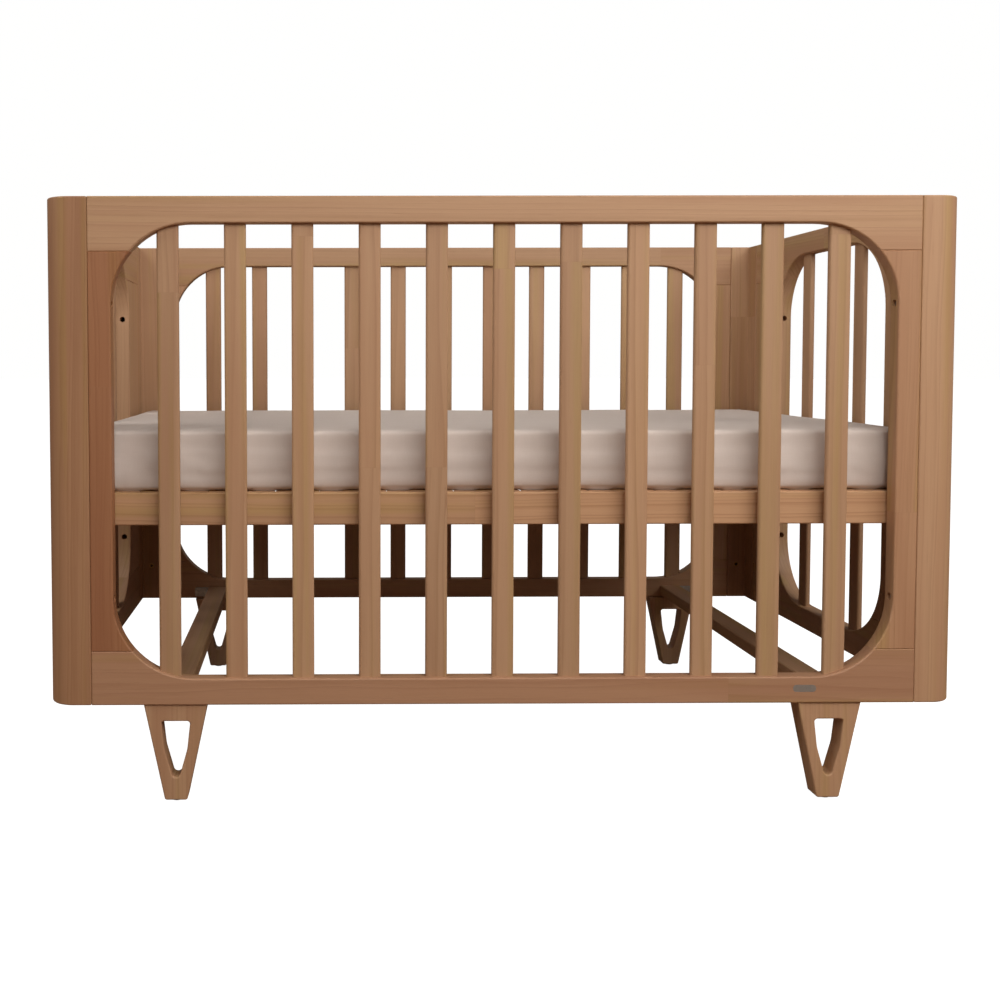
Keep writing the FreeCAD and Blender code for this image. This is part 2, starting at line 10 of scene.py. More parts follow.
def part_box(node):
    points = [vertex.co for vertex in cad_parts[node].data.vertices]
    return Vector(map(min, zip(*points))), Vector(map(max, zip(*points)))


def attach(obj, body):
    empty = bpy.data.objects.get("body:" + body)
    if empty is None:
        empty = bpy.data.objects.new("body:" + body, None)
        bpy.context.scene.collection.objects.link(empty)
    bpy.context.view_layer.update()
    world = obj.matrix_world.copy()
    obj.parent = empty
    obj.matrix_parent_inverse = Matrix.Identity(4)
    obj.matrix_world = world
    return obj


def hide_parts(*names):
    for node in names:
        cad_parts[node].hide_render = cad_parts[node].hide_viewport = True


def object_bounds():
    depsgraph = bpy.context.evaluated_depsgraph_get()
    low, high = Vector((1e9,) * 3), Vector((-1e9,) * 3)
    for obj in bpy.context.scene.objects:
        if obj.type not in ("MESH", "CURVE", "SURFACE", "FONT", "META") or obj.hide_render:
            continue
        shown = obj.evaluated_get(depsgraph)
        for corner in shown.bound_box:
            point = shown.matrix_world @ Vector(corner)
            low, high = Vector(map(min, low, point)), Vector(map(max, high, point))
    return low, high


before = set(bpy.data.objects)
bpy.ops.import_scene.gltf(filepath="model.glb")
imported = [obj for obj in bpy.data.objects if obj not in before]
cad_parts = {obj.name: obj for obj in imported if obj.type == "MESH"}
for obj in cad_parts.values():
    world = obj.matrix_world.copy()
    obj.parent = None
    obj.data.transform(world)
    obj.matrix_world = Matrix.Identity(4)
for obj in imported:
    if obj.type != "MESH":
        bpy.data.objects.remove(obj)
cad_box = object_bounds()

# Slatted timber crib with a sheeted mattress. Metres, in the frame of the CAD model.

# ---- Spacing of the crib's boards ----
SIDE_SLAT_PITCH = 0.10075
END_SLAT_PITCH = 0.100
BASE_SLAT_PITCH = 0.10367
ONE_BOARD = 10.0            # a pitch wider than the crib, for a node that is one board

# ---- Timber colours, as linear light ----
EARLY_WOOD = (0.485, 0.287, 0.163)
LATE_WOOD = (0.330, 0.168, 0.083)
RED_WOOD = (0.395, 0.205, 0.112)
BASE_EARLY_WOOD = (0.600, 0.345, 0.190)
BASE_LATE_WOOD = (0.430, 0.215, 0.102)
PLAIN = (1.0, 1.0, 1.0)
PAINTED_SHADE_TINTS = {             # painted shade and warm light: the left and lower front boards darker and redder
    "front_left_stile": (0.72, 0.54, 0.44),
    "front_left_post": (0.86, 0.76, 0.69),
    "front_bottom_rail": (0.84, 0.77, 0.77),
    "front_right_stile": (0.98, 0.91, 0.87),
}
BEECH_EARLY = (0.520, 0.350, 0.210)
BEECH_LATE = (0.420, 0.260, 0.140)

# ---- Mattress ----
VOXEL = 0.006               # size of a facet of the soft pieces before they are subdivided
SWELL_FRAMES = 20
FOAM_PRESSURE = 2.5
SWELL_START = 0.0060        # the foam starts this much smaller at its sides
SWELL_START_TOP = 0.0040    # and this much lower at its top
SWELL_CAP = 0.0010          # and swells at most this far
UPRIGHT_ROUND = 0.026       # bevels of the foam: its upright corners,
TOP_ROUND = 0.0055          # the edge round its top
BOTTOM_ROUND = 0.0115       # and the edge round its underside
SLAT_WIDTH = 0.068
SLAT_SAG = 0.0050           # how far the edge of the underside hangs between two slats of the base
MIDDLE_RISE = 0.0032        # how far the lower edge is drawn up in the middle of each side
TUCK = 0.085                # width of the sheet tucked under the mattress
SHEET_THICKNESS = 0.0008
SHEET_TO_FOAM = 0.0030
SIDE_SLACK = 0.0008         # folds stay this far inside the mattress's room at its sides
TOP_ROOM = 0.004            # and at most this far above it
HEM_WIDTH = 0.011
HEM_THICKNESS = 0.0014
HEM_CORNER = 0.035
SEAM_RADIUS = 0.0007
UNDERSIDE_LIFT = 0.0003     # the sheet above the lowest point that the mattress may reach
SEED = 7


# ======== Node graphs ========
class Graph:
    """Adds nodes to one node tree and joins them. Sockets and plain values both serve as inputs."""

    def __init__(self, tree):
        self.tree = tree

    def node(self, kind, inputs=None, **settings):
        made = self.tree.nodes.new(kind)
        for name, value in settings.items():
            setattr(made, name, value)
        for name, value in (inputs or {}).items():
            self.feed(made.inputs[name], value)
        return made

    def feed(self, socket, value):
        if isinstance(value, bpy.types.NodeSocket):
            self.tree.links.new(value, socket)
        elif socket.type == "RGBA":
            socket.default_value = (*value[:3], 1.0)
        else:
            socket.default_value = value

    def maths(self, operation, *values, clamp=False):
        made = self.node("ShaderNodeMath", operation=operation, use_clamp=clamp)
        for index, value in enumerate(values):
            self.feed(made.inputs[index], value)
        return made.outputs[0]

    def vector(self, operation, *values):
        made = self.node("ShaderNodeVectorMath", operation=operation)
        for index, value in enumerate(values):
            self.feed(made.inputs[index], value)
        return made.outputs["Value" if operation in ("LENGTH", "DOT_PRODUCT") else "Vector"]

    def split(self, vector):
        made = self.node("ShaderNodeSeparateXYZ", {"Vector": vector})
        return made.outputs[0], made.outputs[1], made.outputs[2]

    def join(self, x, y, z):
        return self.node("ShaderNodeCombineXYZ", {"X": x, "Y": y, "Z": z}).outputs[0]

    def noise(self, place, stretch, detail=2.0, roughness=0.5):
        """Noise between about 0 and 1; stretch is its features per metre on each axis."""
        scaled = self.vector("MULTIPLY", place, stretch)
        made = self.node("ShaderNodeTexNoise", {"Vector": scaled, "Scale": 1.0, "Detail": detail,
                                                "Roughness": roughness})
        return made.outputs["Fac"]

    def chance(self, place):
        """White noise: a value and a colour that differ for each place."""
        made = self.node("ShaderNodeTexWhiteNoise", {"Vector": place}, noise_dimensions="3D")
        return made.outputs["Value"], made.outputs["Color"]

    def remap(self, value, low, high, new_low=0.0, new_high=1.0):
        made = self.node("ShaderNodeMapRange", {"Value": value, "From Min": low, "From Max": high,
                                                "To Min": new_low, "To Max": new_high},
                         interpolation_type="SMOOTHSTEP")
        return made.outputs["Result"]

    def mix(self, share, a, b, blend="MIX"):
        made = self.node("ShaderNodeMix", data_type="RGBA", blend_type=blend)
        self.feed(made.inputs["Factor"], share)
        self.feed(made.inputs[6], a)
        self.feed(made.inputs[7], b)
        return made.outputs[2]

    def grey(self, value):
        return self.join(value, value, value)


SOCKETS = {"value": "NodeSocketFloat", "vector": "NodeSocketVector", "colour": "NodeSocketColor"}


def new_group(name, inputs, outputs):
    """A shader group with named sockets. Gives its graph, its input sockets and its output node."""
    tree = bpy.data.node_groups.new(name, "ShaderNodeTree")
    for label, kind in inputs:
        tree.interface.new_socket(label, in_out="INPUT", socket_type=SOCKETS[kind])
    for label, kind in outputs:
        tree.interface.new_socket(label, in_out="OUTPUT", socket_type=SOCKETS[kind])
    graph = Graph(tree)
    entry = graph.node("NodeGroupInput")
    leave = graph.node("NodeGroupOutput")
    return graph, entry.outputs, leave


def timber_grain_group():
    """Growth rings, fibres and finger-joined lengths of a planed softwood board. Place runs along X."""
    graph, given, leave = new_group(
        "Timber Grain",
        [("Place", "vector"), ("Seed", "value"), ("Board Pitch", "value"), ("Block Length", "value"),
         ("Early Wood", "colour"), ("Late Wood", "colour"), ("Red Wood", "colour"),
         ("Ring Width", "value"), ("Ring Strength", "value"), ("Tone Spread", "value")],
        [("Colour", "colour"), ("Roughness", "value"), ("Height", "value")])
    along, across, deep = graph.split(given["Place"])

    # Which board of a group, and which finger-joined length of that board.
    share = graph.maths("DIVIDE", across, given["Board Pitch"])
    board = graph.maths("FLOOR", graph.maths("ADD", share, 0.5))
    shift = graph.maths("MULTIPLY", given["Seed"], 0.731)
    board_chance, _ = graph.chance(graph.join(board, given["Seed"], 2.0))
    length = graph.maths("ADD", graph.maths("DIVIDE", along, given["Block Length"]),
                         graph.maths("ADD", shift, graph.maths("MULTIPLY", board_chance, 3.0)))
    block = graph.maths("FLOOR", length)
    block_chance, block_colour = graph.chance(graph.join(block, board, given["Seed"]))
    pick_a, pick_b, pick_c = graph.split(block_colour)

    # Rings round a pith that lies outside the board and leans a little.
    drift = graph.vector("ADD", given["Place"], graph.join(graph.maths("MULTIPLY", block_chance, 9.0),
                                                            given["Seed"], board))
    sway = graph.maths("SUBTRACT", graph.noise(drift, (1.6, 9.0, 9.0), 2.0), 0.5)
    ripple = graph.maths("SUBTRACT", graph.noise(drift, (7.0, 60.0, 60.0), 2.0), 0.5)
    bend = graph.maths("ADD", graph.maths("MULTIPLY", sway, 0.030), graph.maths("MULTIPLY", ripple, 0.0035))
    lean = graph.maths("MULTIPLY", along, graph.maths("MULTIPLY_ADD", pick_a, 0.050, -0.025))
    side = graph.maths("ADD", graph.maths("MULTIPLY_ADD", pick_b, 0.110, 0.015), graph.maths("ADD", lean, bend))
    back = graph.maths("MULTIPLY_ADD", pick_c, 0.090, 0.020)
    near = graph.maths("SUBTRACT", across, graph.maths("MULTIPLY", board, given["Board Pitch"]))
    reach = graph.vector("LENGTH", graph.join(0.0, graph.maths("ADD", near, side),
                                              graph.maths("ADD", deep, back)))
    unevenness = graph.noise(graph.grey(reach), (60.0, 60.0, 60.0), 1.0)
    count = graph.maths("ADD", graph.maths("DIVIDE", reach, given["Ring Width"]),
                        graph.maths("MULTIPLY", unevenness, 2.4))
    ring = graph.maths("FRACT", count)
    rise = graph.maths("POWER", ring, 2.6)
    fall = graph.remap(ring, 0.90, 1.0, 1.0, 0.0)
    late = graph.maths("MULTIPLY", rise, fall)
    ring_chance, _ = graph.chance(graph.join(graph.maths("FLOOR", count), board, block))
    late = graph.maths("MULTIPLY", late, graph.maths("MULTIPLY_ADD", ring_chance, 0.8, 0.5))

    # Fibres and short dark flecks, all along the board.
    fibre = graph.maths("SUBTRACT", graph.noise(drift, (9.0, 420.0, 420.0), 3.0, 0.6), 0.5)
    fine = graph.maths("SUBTRACT", graph.noise(drift, (26.0, 1500.0, 1500.0), 2.0, 0.6), 0.5)
    fleck = graph.remap(graph.noise(drift, (34.0, 700.0, 700.0), 1.0), 0.66, 0.80)
    cloud = graph.noise(drift, (1.2, 24.0, 24.0), 2.0)

    amount = graph.maths("MULTIPLY", late, given["Ring Strength"])
    amount = graph.maths("ADD", amount, graph.maths("MULTIPLY", fibre, 0.55))
    amount = graph.maths("ADD", amount, graph.maths("MULTIPLY", fine, 0.30))
    amount = graph.maths("ADD", amount, graph.maths("MULTIPLY", fleck, 0.22), clamp=True)
    plain = graph.mix(amount, given["Early Wood"], given["Late Wood"])
    redness = graph.maths("MULTIPLY", graph.remap(cloud, 0.40, 0.68),
                          graph.maths("MULTIPLY_ADD", pick_c, 0.50, 0.25))
    warm = graph.mix(redness, plain, given["Red Wood"])
    tone = graph.maths("MULTIPLY_ADD", graph.maths("SUBTRACT", board_chance, 0.5), given["Tone Spread"], 1.0)
    tone = graph.maths("MULTIPLY_ADD", graph.maths("SUBTRACT", block_chance, 0.5),
                       graph.maths("MULTIPLY", given["Tone Spread"], 0.5), tone)
    toned = graph.vector("MULTIPLY", warm, graph.grey(tone))
    streak_at = graph.vector("ADD", drift, (3.7, 1.9, 5.3))
    streak = graph.remap(graph.noise(streak_at, (0.9, 38.0, 38.0), 2.0), 0.48, 0.70)
    olive = graph.vector("MULTIPLY", toned, (0.95, 1.02, 0.78))
    tint = graph.mix(graph.maths("MULTIPLY", streak, 0.75), toned, olive)

    # The hairline where two finger-joined lengths meet.
    within = graph.maths("FRACT", length)
    from_joint = graph.maths("MULTIPLY", graph.maths("MINIMUM", within, graph.maths("SUBTRACT", 1.0, within)),
                             given["Block Length"])
    hairline = graph.remap(from_joint, 0.0, 0.0005, 0.22, 0.0)
    final = graph.mix(hairline, tint, LATE_WOOD)

    roughness = graph.maths("MULTIPLY_ADD", amount, -0.10, 0.56)
    roughness = graph.maths("ADD", roughness, graph.maths("MULTIPLY", cloud, 0.06))
    height = graph.maths("MULTIPLY_ADD", late, 0.5, graph.maths("MULTIPLY", fine, 0.6))
    height = graph.maths("SUBTRACT", height, graph.maths("MULTIPLY", fleck, 0.5))
    height = graph.maths("SUBTRACT", height, hairline)
    graph.feed(leave.inputs["Colour"], final)
    graph.feed(leave.inputs["Roughness"], roughness)
    graph.feed(leave.inputs["Height"], height)
    return graph.tree


def lacquer_group():
    """Matt lacquer, rolled on a little unevenly."""
    graph, given, leave = new_group("Matt Lacquer", [("Place", "vector"), ("Roughness", "value")],
                                    [("Roughness", "value"), ("Coat Mask", "value")])
    film = graph.noise(given["Place"], (14.0, 14.0, 14.0), 3.0)
    speck = graph.noise(given["Place"], (420.0, 420.0, 420.0), 1.0)
    uneven = graph.maths("MULTIPLY_ADD", graph.maths("SUBTRACT", film, 0.5), 0.14, given["Roughness"])
    uneven = graph.maths("MULTIPLY_ADD", graph.maths("SUBTRACT", speck, 0.5), 0.05, uneven)
    graph.feed(leave.inputs["Roughness"], uneven)
    graph.feed(leave.inputs["Coat Mask"], graph.remap(film, 0.2, 0.8, 0.04, 0.14))
    return graph.tree


def weave_group():
    """Plain weave on any side of a piece, with slubs in the yarn, soft mottling and painted shade where the
    threads dip under.
    """
    graph, given, leave = new_group(
        "Plain Weave",
        [("Place", "vector"), ("Facing", "vector"), ("Thread", "value"), ("Yarn", "colour"),
         ("Shade", "colour")],
        [("Colour", "colour"), ("Roughness", "value"), ("Height", "value")])
    x, y, z = graph.split(given["Place"])
    turns = graph.maths("DIVIDE", math.pi, given["Thread"])
    wave = [graph.maths("SINE", graph.maths("MULTIPLY", axis, turns)) for axis in (x, y, z)]
    weight = [graph.maths("POWER", graph.maths("ABSOLUTE", part), 3.0) for part in graph.split(given["Facing"])]
    over = graph.maths("MULTIPLY", graph.maths("MULTIPLY", wave[0], wave[1]), weight[2])
    over = graph.maths("MULTIPLY_ADD", graph.maths("MULTIPLY", wave[0], wave[2]), weight[1], over)
    over = graph.maths("MULTIPLY_ADD", graph.maths("MULTIPLY", wave[1], wave[2]), weight[0], over)
    slub_x = graph.noise(given["Place"], (18.0, 900.0, 900.0), 2.0)
    slub_z = graph.noise(given["Place"], (900.0, 900.0, 18.0), 2.0)
    slub_y = graph.noise(given["Place"], (900.0, 18.0, 900.0), 2.0)
    slub = graph.maths("MULTIPLY", graph.maths("ADD", graph.maths("ADD", slub_x, slub_z), slub_y), 0.3333)
    mottle = graph.noise(given["Place"], (28.0, 28.0, 28.0), 4.0, 0.6)
    yarn = graph.maths("MULTIPLY_ADD", graph.maths("SUBTRACT", slub, 0.5), 1.5, 0.35)
    yarn = graph.maths("MULTIPLY_ADD", graph.maths("SUBTRACT", mottle, 0.5), 0.6, yarn)
    # painted shade: the threads a little darker where they dip under the crossing threads
    yarn = graph.maths("MULTIPLY_ADD", over, -0.10, yarn, clamp=True)
    graph.feed(leave.inputs["Colour"], graph.mix(yarn, given["Yarn"], given["Shade"]))
    graph.feed(leave.inputs["Roughness"], graph.maths("MULTIPLY_ADD", yarn, 0.10, 0.84))
    height = graph.maths("MULTIPLY_ADD", over, 0.5, graph.maths("MULTIPLY", slub, 0.9))
    graph.feed(leave.inputs["Height"], height)
    return graph.tree


def metal_group():
    """Plated or turned metal: fine lines along one direction, patchy polish and faint spots."""
    graph, given, leave = new_group(
        "Worked Metal",
        [("Place", "vector"), ("Bright", "colour"), ("Dull", "colour"), ("Polish", "value"),
         ("Lines", "vector")],
        [("Colour", "colour"), ("Roughness", "value"), ("Height", "value")])
    lines_at = graph.vector("MULTIPLY", given["Place"], given["Lines"])
    lines = graph.node("ShaderNodeTexNoise", {"Vector": lines_at, "Scale": 1.0, "Detail": 3.0}).outputs["Fac"]
    patch = graph.noise(given["Place"], (160.0, 160.0, 160.0), 3.0)
    spot = graph.remap(graph.noise(given["Place"], (900.0, 900.0, 900.0), 1.0), 0.62, 0.75)
    dull = graph.maths("MULTIPLY_ADD", graph.maths("SUBTRACT", lines, 0.5), 0.6, patch)
    dull = graph.maths("MULTIPLY_ADD", spot, 0.3, dull, clamp=True)
    graph.feed(leave.inputs["Colour"], graph.mix(dull, given["Bright"], given["Dull"]))
    graph.feed(leave.inputs["Roughness"], graph.maths("MULTIPLY_ADD", dull, 0.25, given["Polish"]))
    graph.feed(leave.inputs["Height"], lines)
    return graph.tree


TIMBER_GRAIN = timber_grain_group()
MATT_LACQUER = lacquer_group()
PLAIN_WEAVE = weave_group()
WORKED_METAL = metal_group()


# ======== Materials ========
def new_material(name, viewport):
    material = bpy.data.materials.new(name)
    material.use_nodes = True
    material.diffuse_color = (*viewport, 1.0)
    material.node_tree.nodes.clear()
    graph = Graph(material.node_tree)
    shader = graph.node("ShaderNodeBsdfPrincipled")
    out = graph.node("ShaderNodeOutputMaterial")
    graph.feed(out.inputs["Surface"], shader.outputs["BSDF"])
    return material, graph, shader


def group_node(graph, tree, inputs):
    made = graph.node("ShaderNodeGroup", node_tree=tree)
    for name, value in inputs.items():
        graph.feed(made.inputs[name], value)
    return made


def bump(graph, shader, height, distance, strength=1.0):
    made = graph.node("ShaderNodeBump", {"Height": height, "Distance": distance, "Strength": strength})
    graph.feed(shader.inputs["Normal"], made.outputs["Normal"])


GRAIN_ORDER = {"x": (0, 1, 2), "y": (1, 0, 2), "z": (2, 0, 1), "z across y": (2, 1, 0)}


def timber(name, along, seed, pitch=ONE_BOARD, block=0.62, early=EARLY_WOOD, late=LATE_WOOD, red=RED_WOOD,
           ring_width=0.0052, ring_strength=0.50, spread=0.12, lacquered=True, tint=PLAIN):
    """Planed softwood whose grain follows one axis. The tint darkens or reddens a whole board: painted shade
    and warm light.
    """
    early, late, red = [tuple(a * b for a, b in zip(colour, tint)) for colour in (early, late, red)]
    material, graph, shader = new_material(name, early)
    place = graph.node("ShaderNodeTexCoord").outputs["Object"]
    axes = graph.split(place)
    board_place = graph.join(*[axes[index] for index in GRAIN_ORDER[along]])
    grain = group_node(graph, TIMBER_GRAIN, {
        "Place": board_place, "Seed": float(seed), "Board Pitch": pitch, "Block Length": block,
        "Early Wood": early, "Late Wood": late, "Red Wood": red, "Ring Width": ring_width,
        "Ring Strength": ring_strength, "Tone Spread": spread})
    graph.feed(shader.inputs["Base Color"], grain.outputs["Colour"])
    if lacquered:
        film = group_node(graph, MATT_LACQUER, {"Place": place, "Roughness": grain.outputs["Roughness"]})
        graph.feed(shader.inputs["Roughness"], film.outputs["Roughness"])
        graph.feed(shader.inputs["Coat Weight"], film.outputs["Coat Mask"])
        shader.inputs["Coat Roughness"].default_value = 0.38
    else:
        graph.feed(shader.inputs["Roughness"], grain.outputs["Roughness"])
    shader.inputs["Specular IOR Level"].default_value = 0.35
    bump(graph, shader, grain.outputs["Height"], 0.00022, 0.8)
    return material


def cloth(name, yarn, shade, thread, sheen):
    """Woven cotton; thread is the spacing of its threads."""
    material, graph, shader = new_material(name, yarn)
    spot = graph.node("ShaderNodeTexCoord")
    weave = group_node(graph, PLAIN_WEAVE, {"Place": spot.outputs["Object"], "Facing": spot.outputs["Normal"],
                                            "Thread": thread, "Yarn": yarn, "Shade": shade})
    graph.feed(shader.inputs["Base Color"], weave.outputs["Colour"])
    graph.feed(shader.inputs["Roughness"], weave.outputs["Roughness"])
    shader.inputs["Sheen Weight"].default_value = sheen
    shader.inputs["Sheen Roughness"].default_value = 0.5
    shader.inputs["Specular IOR Level"].default_value = 0.2
    bump(graph, shader, weave.outputs["Height"], 0.00025, 0.7)
    return material


def metal(name, bright, dull, polish, lines):
    """Plated or turned metal; lines is its tool marks per metre on each axis."""
    material, graph, shader = new_material(name, bright)
    place = graph.node("ShaderNodeTexCoord").outputs["Object"]
    worked = group_node(graph, WORKED_METAL, {"Place": place, "Bright": bright, "Dull": dull,
                                              "Polish": polish, "Lines": lines})
    graph.feed(shader.inputs["Base Color"], worked.outputs["Colour"])
    graph.feed(shader.inputs["Roughness"], worked.outputs["Roughness"])
    shader.inputs["Metallic"].default_value = 1.0
    bump(graph, shader, worked.outputs["Height"], 0.00005, 0.6)
    return material


def nylon(name):
    material, graph, shader = new_material(name, (0.72, 0.69, 0.62))
    place = graph.node("ShaderNodeTexCoord").outputs["Object"]
    cloud = graph.noise(place, (90.0, 90.0, 90.0), 3.0)
    grit = graph.noise(place, (1400.0, 1400.0, 1400.0), 2.0)
    graph.feed(shader.inputs["Base Color"], graph.mix(cloud, (0.76, 0.73, 0.66), (0.62, 0.58, 0.50)))
    graph.feed(shader.inputs["Roughness"], graph.maths("MULTIPLY_ADD", grit, 0.2, 0.38))
    bump(graph, shader, grit, 0.00008, 0.5)
    return material


def paint(node, material):
    """Give a CAD node its finish."""
    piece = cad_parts[node]
    if not piece.material_slots:
        piece.data.materials.append(material)
    for slot in piece.material_slots:
        slot.material = material


def paint_timber():
    """Every board's finish, its grain along the board, with painted shade tints on some boards of the front."""
    slats = timber("front_slat_timber", "z", 3, pitch=SIDE_SLAT_PITCH, block=1.05)
    for index in range(1, 12):
        paint("front_slat_%02d" % index, slats)
    paint("rear_slats", timber("rear_slat_timber", "z", 14, pitch=SIDE_SLAT_PITCH, block=1.05))
    for seed, end in ((21, "left"), (27, "right")):
        paint(end + "_end_slats", timber(end + "_end_slat_timber", "z across y", seed, pitch=END_SLAT_PITCH,
                                         block=1.05))
    for seed, side in ((31, "front"), (38, "rear")):
        for step, part in enumerate(("top_rail", "bottom_rail")):
            node = "%s_%s" % (side, part)
            # tints from the table are painted shade and warm light on the darker front boards
            paint(node, timber(node + "_timber", "x", seed + 3 * step, block=2.3, ring_width=0.0085,
                               ring_strength=0.40, tint=PAINTED_SHADE_TINTS.get(node, PLAIN)))
        for step, part in enumerate(("left_stile", "right_stile")):
            node = "%s_%s" % (side, part)
            paint(node, timber(node + "_timber", "z", seed + 1.7 + step, block=2.4, ring_width=0.0070,
                               tint=PAINTED_SHADE_TINTS.get(node, PLAIN)))
    for seed, end in ((45, "left_end"), (52, "right_end")):
        for step, part in enumerate(("top_rail", "bottom_rail")):
            paint("%s_%s" % (end, part), timber("%s_%s_timber" % (end, part), "y", seed + 3 * step, block=0.8))
        for step, part in enumerate(("front_stile", "rear_stile")):
            paint("%s_%s" % (end, part), timber("%s_%s_timber" % (end, part), "z across y", seed + 1.7 + step,
                                                block=2.4, ring_width=0.0070))
    corners = [depth + "_" + width for depth in ("front", "rear") for width in ("left", "right")]
    for step, corner in enumerate(corners):
        node = corner + "_post"
        paint(node, timber(node + "_timber", "z", 60 + 2.3 * step, block=3.1, ring_width=0.0085,
                           tint=PAINTED_SHADE_TINTS.get(node, PLAIN)))
        paint(corner + "_leg", timber(corner + "_leg_timber", "z", 70 + 2.9 * step, block=1.1,
                                      ring_width=0.0060))
    for step, side in enumerate(("left", "right")):
        paint(side + "_cross_bar", timber(side + "_cross_bar_timber", "y", 81 + step, block=2.4))
    base = dict(early=BASE_EARLY_WOOD, late=BASE_LATE_WOOD)
    for step, part in enumerate(("front", "rear")):
        paint("base_%s_rail" % part, timber("base_%s_rail_timber" % part, "x", 90 + step, block=2.4,
                                            ring_width=0.0075, ring_strength=0.72, **base))
    for step, part in enumerate(("left", "right")):
        paint("base_%s_rail" % part, timber("base_%s_rail_timber" % part, "y", 94 + step, **base))
    paint("base_slats", timber("base_slat_timber", "y", 97, pitch=BASE_SLAT_PITCH, block=0.75,
                               lacquered=False, **base))
    paint("dowels", timber("beech_dowels", "z", 99, early=BEECH_EARLY, late=BEECH_LATE, red=BEECH_LATE,
                           ring_width=0.0020, ring_strength=0.35, lacquered=False))


def paint_hardware():
    zinc = metal("zinc_plated_steel", (0.62, 0.61, 0.58), (0.42, 0.41, 0.38), 0.24, (300.0, 300.0, 1500.0))
    for node in ("side_panel_bolts", "end_panel_bolts", "leg_bolts", "base_bolts", "base_slat_screws",
                 "base_frame_screws", "bracket_screws"):
        paint(node, zinc)
    paint("cross_bar_brackets", metal("rolled_zinc_sheet", (0.58, 0.57, 0.55), (0.38, 0.37, 0.35), 0.34,
                                      (1200.0, 120.0, 120.0)))
    brass = metal("turned_brass", (0.72, 0.50, 0.20), (0.46, 0.30, 0.11), 0.26, (1500.0, 300.0, 300.0))
    paint("post_insert_nuts", brass)
    paint("leg_insert_nuts", brass)
    paint("name_plate", metal("satin_plate", (0.58, 0.55, 0.51), (0.34, 0.32, 0.30), 0.40,
                              (90.0, 900.0, 2600.0)))
    paint("floor_glides", nylon("moulded_nylon"))


# ======== Mattress and fitted sheet ========
def new_piece(name, mesh, body, material):
    """A finished piece that moves with a body of the CAD model."""
    piece = bpy.data.objects.new(name, mesh)
    bpy.context.scene.collection.objects.link(piece)
    mesh.materials.clear()
    mesh.materials.append(material)
    mesh.polygons.foreach_set("use_smooth", [True] * len(mesh.polygons))
    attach(piece, body)
    return piece


def points_of(mesh):
    flat = np.zeros(len(mesh.vertices) * 3, np.float32)
    mesh.vertices.foreach_get("co", flat)
    return flat.reshape(-1, 3).astype(float)


def normals_of(mesh):
    flat = np.zeros(len(mesh.vertices) * 3, np.float32)
    mesh.vertex_normals.foreach_get("vector", flat)
    return flat.reshape(-1, 3).astype(float)


def set_points(mesh, points):
    mesh.vertices.foreach_set("co", points.astype(np.float32).ravel())
    mesh.update()


def foam_block(low, high):
    """Closed block of foam with round corners, a little smaller than its final size."""
    builder = bmesh.new()
    bmesh.ops.create_cube(builder, size=1.0)
    low = low + Vector((SWELL_START, SWELL_START, UNDERSIDE_LIFT))
    high = high - Vector((SWELL_START, SWELL_START, SWELL_START_TOP))
    size = high - low
    middle = (low + high) / 2
    bmesh.ops.transform(builder, verts=builder.verts,
                        matrix=Matrix.Translation(middle) @ Matrix.Diagonal((*size, 1.0)))
    upright = [edge for edge in builder.edges
               if abs(edge.verts[0].co.z - edge.verts[1].co.z) > size.z / 2]
    bmesh.ops.bevel(builder, geom=upright, offset=UPRIGHT_ROUND, segments=10, profile=0.5, affect="EDGES")
    for level, round_off in ((high.z, TOP_ROUND), (low.z, BOTTOM_ROUND)):
        rim = [edge for edge in builder.edges if edge.calc_face_angle(0) > 1.0
               and all(abs(vert.co.z - level) < 1e-6 for vert in edge.verts)]
        bmesh.ops.bevel(builder, geom=rim, offset=round_off, segments=4, profile=0.5, affect="EDGES")
    mesh = bpy.data.meshes.new("foam_block")
    builder.to_mesh(mesh)
    builder.free()
    return mesh


def final_mesh(piece):
    """The piece's mesh after its modifiers."""
    graph = bpy.context.evaluated_depsgraph_get()
    return bpy.data.meshes.new_from_object(piece.evaluated_get(graph), preserve_all_data_layers=False,
                                           depsgraph=graph)


def remeshed(mesh, voxel):
    piece = bpy.data.objects.new("remesh", mesh)
    bpy.context.scene.collection.objects.link(piece)
    change = piece.modifiers.new("even_facets", "REMESH")
    change.mode = "VOXEL"
    change.voxel_size = voxel
    made = final_mesh(piece)
    bpy.data.objects.remove(piece)
    return made


def swollen(mesh):
    """The block pressed out from inside by its foam, each point moved at most SWELL_CAP."""
    start = points_of(mesh)
    piece = bpy.data.objects.new("swell", mesh)
    bpy.context.scene.collection.objects.link(piece)
    cover = piece.modifiers.new("cover", "CLOTH")
    cover.settings.quality = 4
    cover.settings.mass = 0.3
    cover.settings.tension_stiffness = 18
    cover.settings.compression_stiffness = 18
    cover.settings.bending_stiffness = 2.0
    cover.settings.use_pressure = True
    cover.settings.uniform_pressure_force = FOAM_PRESSURE
    cover.settings.effector_weights.gravity = 0
    cover.point_cache.frame_start = 1
    cover.point_cache.frame_end = SWELL_FRAMES
    for step in range(1, SWELL_FRAMES + 1):
        bpy.context.scene.frame_set(step)
    made = final_mesh(piece)
    moved = points_of(made) - start
    bpy.data.objects.remove(piece)
    bpy.data.meshes.remove(made)
    bpy.context.scene.frame_set(1)
    reach = np.linalg.norm(moved, axis=1)
    share = np.minimum(1.0, SWELL_CAP / np.maximum(reach, 1e-9))
    set_points(mesh, start + moved * share[:, None])


def pillow_noise(points, size, shift):
    """Smooth noise between about -1 and 1 at each point, its bumps about size across."""
    scaled = points / size + shift
    return np.array([noise.noise(Vector(place)) for place in scaled])


